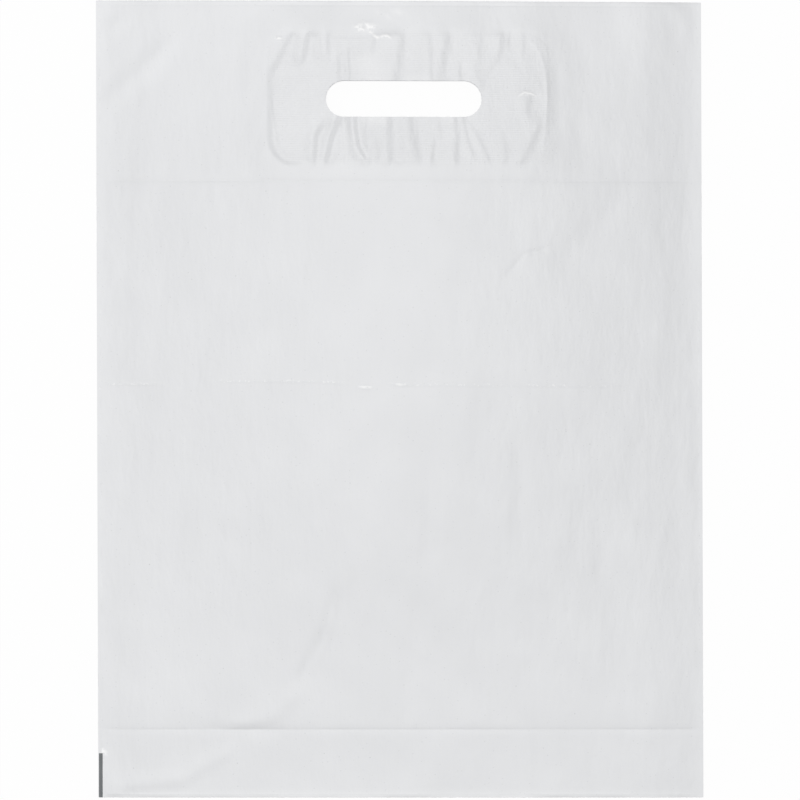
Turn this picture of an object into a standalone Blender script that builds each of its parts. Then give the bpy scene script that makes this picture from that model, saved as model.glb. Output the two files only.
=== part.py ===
"""Plastic carrier bag with a punched hand hole, lying flat on its back panel.

One strip of polyethylene film is folded and welded into a bag: it is turned in
at both sides of the mouth, folded into a gusset at the bottom, and welded down
both long edges. A reinforcing patch lies between each panel and its turned-in
top, and the hand hole is punched through all the layers.

Metres, +Z up. X runs across the bag, +Y towards its mouth. The origin is on the
surface the bag lies on, under the middle of the bag.
"""

import math

import bmesh
import bpy

# Bag
WIDTH = 0.350
LENGTH = 0.461
GUSSET_DEPTH = 0.040
HEM_DEPTH = 0.104
WELD_WIDTH = 0.002
WELD_BEAD = 0.0001

# Sheets, and the air between two that lie on each other
FILM = 0.0002
PATCH = 0.0002
LAYER_GAP = 0.0003
WELD_GAP = 0.0001
FAN_LENGTH = 0.012

# Trapped air that lifts the front panel
AIR_HEIGHT = 0.0070
MOUTH_GAPE = 0.0056
AIR_RISE = 0.115
MOUTH_FALL = 0.140
EDGE_FULLNESS = 4

# Hand hole, placed from the mouth and from the middle of the bag
HOLE_LENGTH = 0.090
HOLE_WIDTH = 0.021
HOLE_BELOW_MOUTH = 0.0567
HOLE_OFFSET = 0.0029

# Handle patch, placed the same way
PATCH_LENGTH = 0.160
PATCH_WIDTH = 0.072
PATCH_CORNER = 0.012
PATCH_BELOW_MOUTH = 0.0564
PATCH_OFFSET = 0.0058
PATCH_MARGIN = 0.005
PATCH_SHOULDER = 0.009

# Gathers: the film stands up over the patch between these valleys. Each valley
# is given by its place at the hole's edge and at the patch's edge, both from
# the middle of the hole, and by its share of the full depth.
GATHER_RISE = 0.0008
GATHER_WIDTH = 0.0034
VALLEYS_ABOVE_HOLE = (
    (-0.064, -0.066, 0.5),
    (-0.054, -0.057, 0.6),
    (-0.042, -0.044, 0.5),
    (-0.033, -0.032, 0.8),
    (-0.020, -0.019, 0.6),
    (-0.004, -0.002, 0.9),
    (0.014, 0.015, 0.5),
    (0.023, 0.026, 1.0),
    (0.040, 0.044, 0.6),
    (0.048, 0.056, 0.9),
    (0.067, 0.069, 0.5),
)
VALLEYS_BELOW_HOLE = (
    (-0.048, -0.052, 0.6),
    (-0.038, -0.046, 0.9),
    (-0.033, -0.034, 0.6),
    (-0.027, -0.023, 1.0),
    (-0.009, -0.008, 1.0),
    (0.005, 0.008, 0.9),
    (0.019, 0.019, 0.5),
    (0.029, 0.030, 1.0),
    (0.042, 0.045, 0.6),
    (0.056, 0.060, 0.6),
    (0.077, 0.069, 1.0),
)

# Lines pressed across the front panel, with their height over it
LINE_WIDTH = 0.0030
HEM_LINE = -0.0003
GUSSET_LINE = -0.0003
STORAGE_CREASE = 0.0006
CREASE_FROM_BOTTOM = 0.2386
STEP_LENGTH = 0.030

# Long soft wrinkles: both ends from the middle of the bag, height and width
WRINKLES = (
    ((-0.094, -0.190), (-0.036, -0.118), 0.0011, 0.013),
    ((-0.172, -0.226), (-0.104, -0.206), 0.0010, 0.012),
    ((-0.172, 0.168), (-0.134, 0.200), 0.0010, 0.012),
    ((0.068, 0.000), (0.072, -0.090), 0.0008, 0.013),
    ((0.016, -0.030), (0.010, -0.140), 0.0008, 0.013),
    ((0.140, 0.130), (0.100, 0.075), 0.0009, 0.014),
)

# Mesh
COLUMN = 0.0145
ROW = 0.0190
FOLD_STEPS = 4
FOLD_SPAN = 0.001
GATHER_STEPS = 3
ARC_STEPS = 8

# Colours: linear red, green and blue
FILM_COLOUR = (0.76, 0.77, 0.79)
PATCH_COLOUR = (0.80, 0.81, 0.83)

MOUTH = LENGTH / 2
BOTTOM = -LENGTH / 2
HEM_EDGE = MOUTH - HEM_DEPTH
GUSSET_FOLD = BOTTOM + GUSSET_DEPTH
CREASE = BOTTOM + CREASE_FROM_BOTTOM
INNER_EDGE = WIDTH / 2 - WELD_WIDTH
FREE_EDGE = INNER_EDGE - WELD_WIDTH / 2
HOLE_CENTRE = (HOLE_OFFSET, MOUTH - HOLE_BELOW_MOUTH)
PATCH_CENTRE = (PATCH_OFFSET, MOUTH - PATCH_BELOW_MOUTH)
PATCH_ROOM = PATCH + LAYER_GAP


def smooth(value):
    """0 up to 0, 1 from 1, and a smooth rise between."""
    t = min(max(value, 0.0), 1.0)
    return t * t * (3 - 2 * t)


def from_weld(x):
    """Distance from where the sheets part, just inside the nearer side weld."""
    return max(FREE_EDGE - abs(x), 0.0)


def pitch(x):
    """Height from one sheet to the next: close at the welds, looser inside."""
    loose = smooth(from_weld(x) / FAN_LENGTH)
    return FILM + WELD_GAP + (LAYER_GAP - WELD_GAP) * loose


def patch_room(x):
    """Extra height in the turned-in top for the patch, none at the welds."""
    side = FREE_EDGE - abs(PATCH_OFFSET) - PATCH_LENGTH / 2 - COLUMN
    return PATCH_ROOM * smooth(from_weld(x) / side)


def air(x, y):
    """Height of the air inside the bag: full in the middle, none at the welds
    and at the bottom, and a little lower at the mouth."""
    across = 1 - (min(abs(x), FREE_EDGE) / FREE_EDGE) ** EDGE_FULLNESS
    rise = min((y - BOTTOM) / AIR_RISE, 1.0)
    along = math.sqrt(max(1 - (1 - rise) ** 2, 0.0))
    fall = smooth((y - MOUTH + MOUTH_FALL) / MOUTH_FALL)
    return across * along * (AIR_HEIGHT + (MOUTH_GAPE - AIR_HEIGHT) * fall)


def front_base(x, y):
    """The front panel's middle surface before anything is pressed into it."""
    hem = smooth((y - HEM_EDGE) / STEP_LENGTH + 1)
    gusset = smooth((GUSSET_FOLD - y) / STEP_LENGTH + 1)
    layers = pitch(x) * (1 + 2 * hem + 2 * gusset) + patch_room(x) * hem
    return FILM / 2 + layers + air(x, y)


def outside_patch(x, y):
    """Distance from a point to the patch's outline, 0 over the patch."""
    dx = abs(x - PATCH_CENTRE[0]) - (PATCH_LENGTH / 2 - PATCH_CORNER)
    dy = abs(y - PATCH_CENTRE[1]) - (PATCH_WIDTH / 2 - PATCH_CORNER)
    return max(math.hypot(max(dx, 0.0), max(dy, 0.0)) - PATCH_CORNER, 0.0)


def over_patch(x, y):
    """1 over the patch and its margin, 0 past the shoulder around it."""
    return 1 - smooth((outside_patch(x, y) - PATCH_MARGIN) / PATCH_SHOULDER)


def gathers(x, y):
    """Puckers that run from the hand hole to the edge of the patch."""
    off = y - HOLE_CENTRE[1]
    valleys = VALLEYS_ABOVE_HOLE if off > 0 else VALLEYS_BELOW_HOLE
    run = min(abs(off) / (PATCH_WIDTH / 2), 1.0)
    depth = 0.0
    for at_hole, at_edge, share in valleys:
        line = HOLE_CENTRE[0] + at_hole + (at_edge - at_hole) * run
        depth = max(depth, share * math.exp(-(((x - line) / GATHER_WIDTH) ** 2)))
    fade = smooth(abs(off) / (HOLE_WIDTH / 2))
    return GATHER_RISE * over_patch(x, y) * (1 - depth * fade)


def pressed_line(y, line, height):
    """A narrow ridge or groove across the bag."""
    return height * max(1 - abs(y - line) / LINE_WIDTH, 0.0)


def wrinkle(x, y, start, end, height, width):
    """A soft ridge along a straight line, fading towards both ends."""
    run = (end[0] - start[0], end[1] - start[1])
    square = run[0] ** 2 + run[1] ** 2
    t = ((x - start[0]) * run[0] + (y - start[1]) * run[1]) / square
    t = min(max(t, 0.0), 1.0)
    off = math.hypot(x - start[0] - t * run[0], y - start[1] - t * run[1])
    return height * math.exp(-((off / width) ** 2)) * (0.4 + 0.6 * math.sin(math.pi * t))


def relief(x, y):
    """What stands up from or is pressed into the front panel."""
    lines = (
        pressed_line(y, HEM_EDGE - LINE_WIDTH, HEM_LINE)
        + pressed_line(y, GUSSET_FOLD + 1.5 * LINE_WIDTH, GUSSET_LINE)
        + pressed_line(y, CREASE, STORAGE_CREASE)
    )
    soft = max(wrinkle(x, y, *form) for form in WRINKLES)
    ends = min(MOUTH - y, y - BOTTOM)
    hold = smooth(from_weld(x) / FAN_LENGTH) * smooth(ends / FAN_LENGTH)
    return (lines + soft) * hold


def front_panel(x, y):
    """Height of the front panel's middle surface."""
    handle = PATCH_ROOM * over_patch(x, y) + gathers(x, y)
    return front_base(x, y) + relief(x, y) + handle


def front_hem(x, y):
    """Height of the front turned-in top, one sheet under the panel."""
    return front_base(x, y) - pitch(x)


def front_leaf(x, y):
    return FILM / 2 + 2 * pitch(x)


def back_leaf(x, y):
    return FILM / 2 + pitch(x)


def back_panel(x, y):
    return FILM / 2


def back_hem(x, y):
    return FILM / 2 + pitch(x) + patch_room(x)


# The strip from end to end: each sheet with its height and where it starts and
# stops. Each sheet is joined to the next by a fold at the place they share.
SHEETS = (
    (front_hem, HEM_EDGE, MOUTH),
    (front_panel, MOUTH, BOTTOM),
    (front_leaf, BOTTOM, GUSSET_FOLD),
    (back_leaf, GUSSET_FOLD, BOTTOM),
    (back_panel, BOTTOM, MOUTH),
    (back_hem, MOUTH, HEM_EDGE),
)


def fold_radius(x, number):
    """Radius of the fold between a sheet of the strip and the next one."""
    height, _, line = SHEETS[number]
    return abs(SHEETS[number + 1][0](x, line) - height(x, line)) / 2


def sheet_start(number):
    """Where a sheet starts along the unfolded strip."""
    return sum(abs(end - start) + FOLD_SPAN for _, start, end in SHEETS[:number])


def folded(x, along):
    """The place in the folded bag of a point of the unfolded strip."""
    number = max(i for i in range(len(SHEETS)) if along >= sheet_start(i) - 1e-9)
    height, start, end = SHEETS[number]
    way = 1 if end > start else -1
    share = (along - sheet_start(number)) / abs(end - start)
    if number:
        start += way * (FILM / 2 + fold_radius(x, number - 1))
    if number < len(SHEETS) - 1:
        end -= way * (FILM / 2 + fold_radius(x, number))
    if share <= 1 + 1e-6:
        y = start + (end - start) * share
        return x, y, height(x, y)
    turn = math.pi * (share - 1) * abs(SHEETS[number][2] - SHEETS[number][1]) / FOLD_SPAN
    line = SHEETS[number][2]
    here = height(x, line)
    there = SHEETS[number + 1][0](x, line)
    y = end + way * fold_radius(x, number) * math.sin(turn)
    return x, y, (here + there) / 2 + (here - there) / 2 * math.cos(turn)


def spread(marks, step):
    """The marks with evenly spaced places between them, at most a step apart."""
    places = [marks[0]]
    for start, end in zip(marks, marks[1:]):
        count = max(math.ceil(abs(end - start) / step - 1e-6), 1)
        places += [start + (end - start) * (i + 1) / count for i in range(count)]
    return places


def sheet_rows(height, start, end):
    """Places from one end of a sheet to the other that get a row of points."""
    if height in (back_panel, front_leaf, back_leaf):
        return [start, end]
    if height is not front_panel:
        return spread([start, end], ROW)
    pressed = [
        line + side * LINE_WIDTH
        for line in (HEM_EDGE - LINE_WIDTH, CREASE, GUSSET_FOLD + 1.5 * LINE_WIDTH)
        for side in (1, 0, -1)
    ]
    return spread([start, *pressed, end], ROW)


def strip_rows():
    """Places along the unfolded strip that get a row of points."""
    rows = []
    for number, (height, start, end) in enumerate(SHEETS):
        first = sheet_start(number)
        rows += [first + abs(place - start) for place in sheet_rows(height, start, end)]
        if number < len(SHEETS) - 1:
            last = first + abs(end - start)
            rows += [last + FOLD_SPAN * i / FOLD_STEPS for i in range(1, FOLD_STEPS)]
    return rows


def over_handle(face):
    """Is this face of the unfolded strip on the front panel's gathered part?"""
    centre = face.calc_center_median()
    first = sheet_start(1)
    if not first < centre.y < first + LENGTH:
        return False
    reach = outside_patch(centre.x, MOUTH - (centre.y - first))
    return reach < PATCH_MARGIN + PATCH_SHOULDER + COLUMN / 2


def material(name, colour, roughness):
    made = bpy.data.materials.new(name)
    made.use_nodes = True
    shader = made.node_tree.nodes["Principled BSDF"]
    shader.inputs["Base Color"].default_value = (*colour, 1.0)
    shader.inputs["Roughness"].default_value = roughness
    shader.inputs["Metallic"].default_value = 0.0
    return made


def object_from(name, shape):
    """Makes an object of a bmesh and frees the bmesh."""
    mesh = bpy.data.meshes.new(name)
    shape.to_mesh(mesh)
    shape.free()
    made = bpy.data.objects.new(name, mesh)
    bpy.context.collection.objects.link(made)
    return made


def helper(made):
    """Keeps a cutter or a guide out of the finished bag."""
    made.hide_render = True
    made.display_type = "WIRE"
    return made


def grid(columns, rows):
    """A flat grid of quads in a bmesh."""
    shape = bmesh.new()
    points = [[shape.verts.new((x, y, 0.0)) for x in columns] for y in rows]
    for low, high in zip(points, points[1:]):
        for i in range(len(columns) - 1):
            shape.faces.new((low[i], low[i + 1], high[i + 1], high[i]))
    return shape


def thicken(made, thickness):
    """Gives a middle surface its wall, half to each side."""
    wall = made.modifiers.new("wall", "SOLIDIFY")
    wall.thickness = thickness
    wall.offset = 0.0
    wall.use_even_offset = True
    wall.use_quality_normals = True


def combine(made, other, operation):
    """Adds an exact Boolean with another object."""
    cut = made.modifiers.new(f"{operation.lower()} {other.name}", "BOOLEAN")
    cut.operation = operation
    cut.object = other


def rounded_outline(centre, length, width, radius):
    """Corners of a rectangle with rounded corners, anticlockwise."""
    corners = []
    for quarter, (side, end) in enumerate(((1, 1), (-1, 1), (-1, -1), (1, -1))):
        middle_x = centre[0] + side * (length / 2 - radius)
        middle_y = centre[1] + end * (width / 2 - radius)
        for step in range(ARC_STEPS + 1):
            turn = math.pi / 2 * (quarter + step / ARC_STEPS)
            corners.append(
                (middle_x + radius * math.cos(turn), middle_y + radius * math.sin(turn))
            )
    kept = corners[:1]
    for corner in corners[1:]:
        if math.dist(corner, kept[-1]) > 1e-6 and math.dist(corner, kept[0]) > 1e-6:
            kept.append(corner)
    return kept


def prism(name, points, depth):
    """A solid from one flat outline, pushed straight along a vector."""
    shape = bmesh.new()
    face = shape.faces.new([shape.verts.new(point) for point in points])
    pushed = bmesh.ops.extrude_face_region(shape, geom=[face])["geom"]
    moved = [item for item in pushed if isinstance(item, bmesh.types.BMVert)]
    bmesh.ops.translate(shape, verts=moved, vec=depth)
    bmesh.ops.recalc_face_normals(shape, faces=shape.faces)
    return object_from(name, shape)


def punch(name, centre, length, width, radius):
    """A rounded prism that passes through the whole bag, to cut or trim with."""
    reach = AIR_HEIGHT + MOUTH_GAPE
    outline = rounded_outline(centre, length, width, radius)
    points = [(x, y, -reach) for x, y in outline]
    return helper(prism(name, points, (0, 0, 3 * reach)))


def side_weld(name, side):
    """The bar of melted film down one long edge, a bead higher than its sheets.
    Its underside and its ends lie within the film that it melts into."""
    inner = side * INNER_EDGE
    rows = sheet_rows(front_panel, MOUTH, BOTTOM)
    rows[0] -= FILM / 2
    rows[-1] += FILM / 2
    top = [(inner, y, front_base(inner, y) + FILM / 2 + WELD_BEAD) for y in rows]
    under = [(inner, rows[-1], FILM / 4), (inner, rows[0], FILM / 4)]
    return helper(prism(name, top + under, (side * WELD_WIDTH, 0, 0)))


def folded_strip():
    """The film's middle surface, folded into the bag, and the faces of it that
    lie over the front patch."""
    half = math.ceil(FREE_EDGE / COLUMN)
    inside = [FREE_EDGE * i / half for i in range(-half, half + 1)]
    sunk = INNER_EDGE + WELD_WIDTH / 2
    shape = grid([-sunk, *inside, sunk], strip_rows())
    gathered = [face for face in shape.faces if over_handle(face)]
    edges = {edge for face in gathered for edge in face.edges}
    bmesh.ops.subdivide_edges(
        shape, edges=list(edges), cuts=GATHER_STEPS - 1, use_grid_fill=True
    )
    bmesh.ops.triangulate(shape, faces=shape.faces)
    over_front_patch = [face for face in shape.faces if over_handle(face)]
    for point in shape.verts:
        point.co = folded(point.co.x, point.co.y)
    return shape, over_front_patch


def lowered(faces, drop):
    """A copy of some faces, as a bmesh of its own, moved straight down."""
    shape = bmesh.new()
    copies = {}
    for face in faces:
        for point in face.verts:
            if point not in copies:
                copies[point] = shape.verts.new(point.co)
        shape.faces.new([copies[point] for point in face.verts])
    bmesh.ops.translate(shape, verts=shape.verts, vec=(0, 0, -drop))
    return shape


def flat_patch(height):
    """A flat sheet at a height, a little larger than the patch cut from it."""
    x, y = PATCH_CENTRE
    length, width = PATCH_LENGTH + PATCH_CORNER, PATCH_WIDTH + PATCH_CORNER
    shape = grid([x - length / 2, x + length / 2], [y - width / 2, y + width / 2])
    bmesh.ops.translate(shape, verts=shape.verts, vec=(0, 0, height))
    return shape


def bag_film(strip, hole):
    """The folded and welded film with its hand hole."""
    made = object_from("bag_film", strip)
    thicken(made, FILM)
    combine(made, side_weld("left_weld", -1), "UNION")
    combine(made, side_weld("right_weld", 1), "UNION")
    combine(made, hole, "DIFFERENCE")
    made.data.materials.append(material("polyethylene film", FILM_COLOUR, 0.38))


def handle_patch(name, surface, trim, hole):
    """A rounded patch that follows the sheet it is glued to."""
    made = object_from(name, surface)
    thicken(made, PATCH)
    combine(made, trim, "INTERSECT")
    combine(made, hole, "DIFFERENCE")
    made.data.materials.append(material(f"{name} film", PATCH_COLOUR, 0.45))


def main():
    for old in list(bpy.data.objects):
        bpy.data.objects.remove(old, do_unlink=True)
    hole = punch("hand_hole", HOLE_CENTRE, HOLE_LENGTH, HOLE_WIDTH, HOLE_WIDTH / 2)
    trim = punch("patch_trim", PATCH_CENTRE, PATCH_LENGTH, PATCH_WIDTH, PATCH_CORNER)
    strip, over_front_patch = folded_strip()
    under_panel = lowered(over_front_patch, FILM / 2 + LAYER_GAP + PATCH / 2)
    on_back_panel = flat_patch(FILM + LAYER_GAP + PATCH / 2)
    bag_film(strip, hole)
    handle_patch("front_handle_patch", under_panel, trim, hole)
    handle_patch("back_handle_patch", on_back_panel, trim, hole)


main()
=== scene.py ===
"""Plastic carrier bag: its film, handle patches and finish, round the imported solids.

Metres, +Z up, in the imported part's frame: X runs across the bag, +Y towards its
mouth, and the back panel lies on Z = 0. Points on the film are measured from the
middle of the bag.
"""

import math

import bmesh
import bpy
import numpy as np
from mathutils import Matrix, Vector


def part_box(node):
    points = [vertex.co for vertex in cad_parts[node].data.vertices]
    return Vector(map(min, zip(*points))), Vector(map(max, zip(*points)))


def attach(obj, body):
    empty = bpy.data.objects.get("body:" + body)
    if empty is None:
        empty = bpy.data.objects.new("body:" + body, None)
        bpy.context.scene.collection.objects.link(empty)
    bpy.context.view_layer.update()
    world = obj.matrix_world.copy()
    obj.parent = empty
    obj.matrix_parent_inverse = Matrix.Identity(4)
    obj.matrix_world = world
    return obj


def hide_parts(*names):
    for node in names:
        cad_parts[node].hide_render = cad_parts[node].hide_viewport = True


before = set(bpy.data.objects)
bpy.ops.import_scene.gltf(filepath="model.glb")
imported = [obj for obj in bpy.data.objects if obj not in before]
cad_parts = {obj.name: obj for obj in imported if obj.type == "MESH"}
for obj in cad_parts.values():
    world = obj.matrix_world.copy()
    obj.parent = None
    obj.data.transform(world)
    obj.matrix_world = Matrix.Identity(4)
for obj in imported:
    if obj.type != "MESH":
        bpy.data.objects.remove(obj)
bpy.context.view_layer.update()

bl_info = {
    "name": "Plastic carrier bag",
    "version": (1, 0, 0),
    "blender": (4, 5, 0),
    "location": "3D View > Sidebar > Carrier Bag",
    "description": "Folds, welds and punches a film carrier bag and sets its stage",
    "category": "Object",
}

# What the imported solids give
PATCH_LOW, PATCH_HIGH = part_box("back_handle_patch")
PATCH_LENGTH = PATCH_HIGH.x - PATCH_LOW.x
PATCH_WIDTH = PATCH_HIGH.y - PATCH_LOW.y
PATCH_CENTRE = ((PATCH_LOW.x + PATCH_HIGH.x) / 2, (PATCH_LOW.y + PATCH_HIGH.y) / 2)

# Bag
WIDTH = 0.35
LENGTH = 0.461
MOUTH = LENGTH / 2
BOTTOM = -LENGTH / 2
HEM_EDGE = MOUTH - 0.104
GUSSET_FOLD = BOTTOM + 0.04
WELD_WIDTH = 0.002
WELD_BEAD = 0.00006
INNER_EDGE = WIDTH / 2 - WELD_WIDTH
FREE_EDGE = INNER_EDGE - WELD_WIDTH / 2

# Hand hole and patch
HOLE_CENTRE = (0.0029, MOUTH - 0.0567)
HOLE_LENGTH = 0.09
HOLE_WIDTH = 0.021
HOLE_FLAT = 1e-5
PATCH_CORNER = 0.012
PATCH_GAP = 0.0001

# Height from one sheet to the next, at the side welds and inside them
WELD_PITCH = 0.00018
LOOSE_PITCH = 0.0004
FAN_LENGTH = 0.03
PATCH_ROOM = 0.0002
PATCH_ROOM_RUN = 0.0717
STEP_LENGTH = 0.055

# Trapped air
AIR_HEIGHT = 0.007
MOUTH_GAPE = 0.0056
AIR_RISE = 0.27
MOUTH_FALL = 0.14
EDGE_SOFTNESS = 1.35

# Ripples along the mouth: length, share and phase of each, and how far they run
RIPPLES = ((0.131, 1.0, 0.6), (0.083, 0.8, 2.1), (0.052, 0.5, 4.4), (0.034, 0.25, 1.2))
RIPPLE_HEIGHT = 0.0003
RIPPLE_RUN = 0.03

# The film over the patch: how far it is lifted there and how far past the patch it
# comes down, how much more it stands up at the left and right ends, and the small
# step that the patch's edge makes in it
PATCH_LIFT = 0.00056
LIFT_RUN = 0.022
LEFT_RISE = 0.0005
RIGHT_RISE = 0.00022
RISE_RUN = (0.045, 0.075)
RISE_FADE = 0.035
PATCH_STEP = 0.00005
STEP_RUN = 0.0018

# How far past the patch the raised ends come down, how much further on each side,
# and how much nearer to the patch that starts at the left
SHOULDER = 0.004
LEFT_SHOULDER = 0.001
LEFT_SHIFT = 0.0024
RIGHT_SHOULDER = 0.004

# Puckers over the patch, small steps in the film: points along them from the top
# down, height and half width. They run on past the patch and the hole, where the
# film no longer shows them. Each steps up towards the middle of the bag.
PUCKERS = (
    (((-0.059, 0.218), (-0.0618, 0.2118), (-0.0676, 0.1997), (-0.075, 0.186)), 0.00052, 0.003),
    (((-0.0522, 0.218), (-0.0524, 0.2118), (-0.0538, 0.2033), (-0.056, 0.19)), 0.00075, 0.003),
    (((-0.0408, 0.218), (-0.0405, 0.193)), 0.00039, 0.0025),
    (((-0.035, 0.205), (-0.0335, 0.175)), 0.00045, 0.0024),
    (((-0.0292, 0.207), (-0.0287, 0.1946), (-0.0279, 0.175)), 0.00046, 0.0015),
    (((-0.0129, 0.218), (-0.015, 0.196)), 0.0003, 0.0025),
    (((0.0035, 0.219), (0.0008, 0.199), (-0.003, 0.175)), 0.00074, 0.0056),
    (((0.0168, 0.219), (0.0185, 0.1975), (0.019, 0.178)), 0.00052, 0.0039),
    (((0.0292, 0.219), (0.0272, 0.2004), (0.023, 0.178)), 0.00073, 0.005),
    (((0.035, 0.199), (0.0365, 0.175)), 0.00031, 0.0019),
    (((0.0472, 0.219), (0.0467, 0.199), (0.0444, 0.181)), 0.00021, 0.0032),
    (((0.0608, 0.219), (0.06, 0.203), (0.056, 0.193)), 0.00055, 0.0036),
    (((0.0585, 0.199), (0.0553, 0.1939), (0.044, 0.181)), 0.00031, 0.0033),
    (((0.0719, 0.218), (0.0724, 0.195)), 0.00023, 0.0024),
    (((0.0649, 0.218), (0.0631, 0.198)), 0.00029, 0.0023),
    (((-0.0415, 0.164), (-0.0478, 0.152), (-0.0492, 0.13)), 0.00075, 0.003),
    (((-0.032, 0.169), (-0.0388, 0.1512), (-0.044, 0.13)), 0.00088, 0.003),
    (((-0.035, 0.173), (-0.032, 0.1527), (-0.0313, 0.131)), 0.00035, 0.0025),
    (((-0.0266, 0.174), (-0.0245, 0.1527), (-0.0233, 0.1462), (-0.0165, 0.134)), 0.00075, 0.0023),
    (((-0.015, 0.152), (-0.0174, 0.129)), 0.00045, 0.0025),
    (((-0.0057, 0.175), (-0.0051, 0.1512), (-0.0044, 0.129)), 0.00081, 0.0042),
    (((0.006, 0.175), (0.0085, 0.1527), (0.0104, 0.1455), (0.0135, 0.128)), 0.00044, 0.0042),
    (((0.021, 0.156), (0.0185, 0.13)), 0.0004, 0.0027),
    (((0.0232, 0.175), (0.0239, 0.142)), 0.00022, 0.0027),
    (((0.0323, 0.175), (0.0337, 0.1512), (0.033, 0.128)), 0.00036, 0.003),
    (((0.0355, 0.175), (0.0393, 0.152), (0.0455, 0.135)), 0.00026, 0.0018),
    (((0.037, 0.166), (0.048, 0.1484), (0.0555, 0.131)), 0.00022, 0.0024),
    (((0.0614, 0.156), (0.0624, 0.13)), 0.00028, 0.0027),
    (((0.0838, 0.164), (0.0822, 0.159), (0.0776, 0.1484), (0.067, 0.129)), 0.0004, 0.0037),
    (((0.0762, 0.18), (0.0742, 0.161)), 0.0004, 0.0036),
)

# How soon a pucker fades at its ends, how many half widths it reaches sideways, and
# over what length, and how much of it early, they all die out past the patch
PUCKER_FADE = 0.009
PUCKER_REACH = 3
GATHER_RUN = 0.008
GATHER_EARLY = 0.2

# Soft folds in the panel: points along them, height and half width
SOFT_FOLDS = (
    (((-0.182, -0.232), (-0.156, -0.2225), (-0.127, -0.2195), (-0.092, -0.199)), 0.0004, 0.0036),
    (((-0.106, -0.191), (-0.075, -0.183), (-0.058, -0.168), (-0.052, -0.16)), 0.00034, 0.0038),
    (((-0.062, -0.173), (-0.051, -0.151), (-0.043, -0.137), (-0.04, -0.13)), -0.00048, 0.0032),
    (((-0.046, -0.148), (-0.036, -0.106)), -0.00046, 0.0029),
    (((-0.0275, -0.096), (-0.0275, -0.152)), -0.00022, 0.0017),
    (((-0.182, 0.162), (-0.152, 0.187), (-0.126, 0.212)), 0.00042, 0.0046),
    (((-0.176, 0.211), (-0.156, 0.2205)), 0.00025, 0.0036),
    (((0.148, 0.146), (0.118, 0.105), (0.086, 0.07)), -0.00016, 0.0065),
    (((0.0148, -0.018), (0.0175, -0.056), (0.015, -0.105)), -0.00024, 0.0038),
    (((0.0669, -0.018), (0.07, -0.052), (0.0672, -0.088)), -0.00024, 0.0038),
    (((0.1159, -0.07), (0.1155, -0.116)), -0.00022, 0.0046),
    (((-0.01, -0.14), (0.066, -0.185)), -0.00008, 0.005),
    (((0.0088, -0.108), (0.0088, -0.148)), -0.00018, 0.0026),
    (((0.148, 0.236), (0.166, 0.2215), (0.174, 0.202)), 0.00022, 0.0062),
    (((0.17, 0.016), (0.169, -0.07), (0.17, -0.16)), 0.00018, 0.004),
    (((-0.126, -0.1895), (-0.06, -0.1925)), -0.00018, 0.003),
    (((0.089, 0.21), (0.0905, 0.19), (0.0905, 0.165), (0.0885, 0.138)), -0.00016, 0.004),
)

# Sharp creases: points along them, height and half width
SHARP_CREASES = (
    (((0.0605, 0.0695), (0.066, 0.076), (0.0719, 0.0835), (0.087, 0.087)), -0.0003, 0.0008),
    (((-0.149, -0.0165), (-0.128, -0.0176), (-0.105, -0.0172)), -0.00022, 0.0009),
    (((-0.1083, 0.0095), (-0.1083, -0.009)), -0.00018, 0.0008),
    (((-0.126, -0.029), (-0.096, -0.03)), -0.0002, 0.0009),
    (((-0.075, 0.176), (-0.0725, 0.1628), (-0.0714, 0.1498), (-0.064, 0.137)), -0.00012, 0.0011),
    (((0.0742, 0.2077), (0.0778, 0.2062), (0.0804, 0.2033), (0.0821, 0.1997), (0.0838, 0.1946),
      (0.085, 0.1874), (0.0857, 0.1758), (0.0853, 0.1643), (0.0846, 0.1527), (0.0827, 0.144)),
     0.00011, 0.0012),
    (((-0.041, 0.21), (-0.015, 0.2098)), -0.00012, 0.0009),
)

# The crease that stayed from storage, in pieces
STORAGE_CREASE = (
    ((-0.176, 0.009), (-0.137, 0.0087)),
    ((-0.106, 0.0102), (-0.052, 0.0104), (-0.029, 0.0088)),
    ((-0.023, 0.0069), (-0.016, 0.0069)),
    ((-0.008, 0.0084), (0.071, 0.0079)),
    ((0.07, 0.0079), (0.13, 0.0074)),
)
STORAGE_HEIGHT = 0.0001
STORAGE_HALF_WIDTH = 0.0007

# Lines pressed across the panel: place, height and half width
PRESSED_LINES = (
    (HEM_EDGE - 0.0004, -0.00009, 0.0007),
    (GUSSET_FOLD - 0.0007, -0.0001, 0.0007),
    (MOUTH - 0.0025, -0.00005, 0.0005),
    (BOTTOM + 0.002, 0.00005, 0.0006),
)

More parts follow.
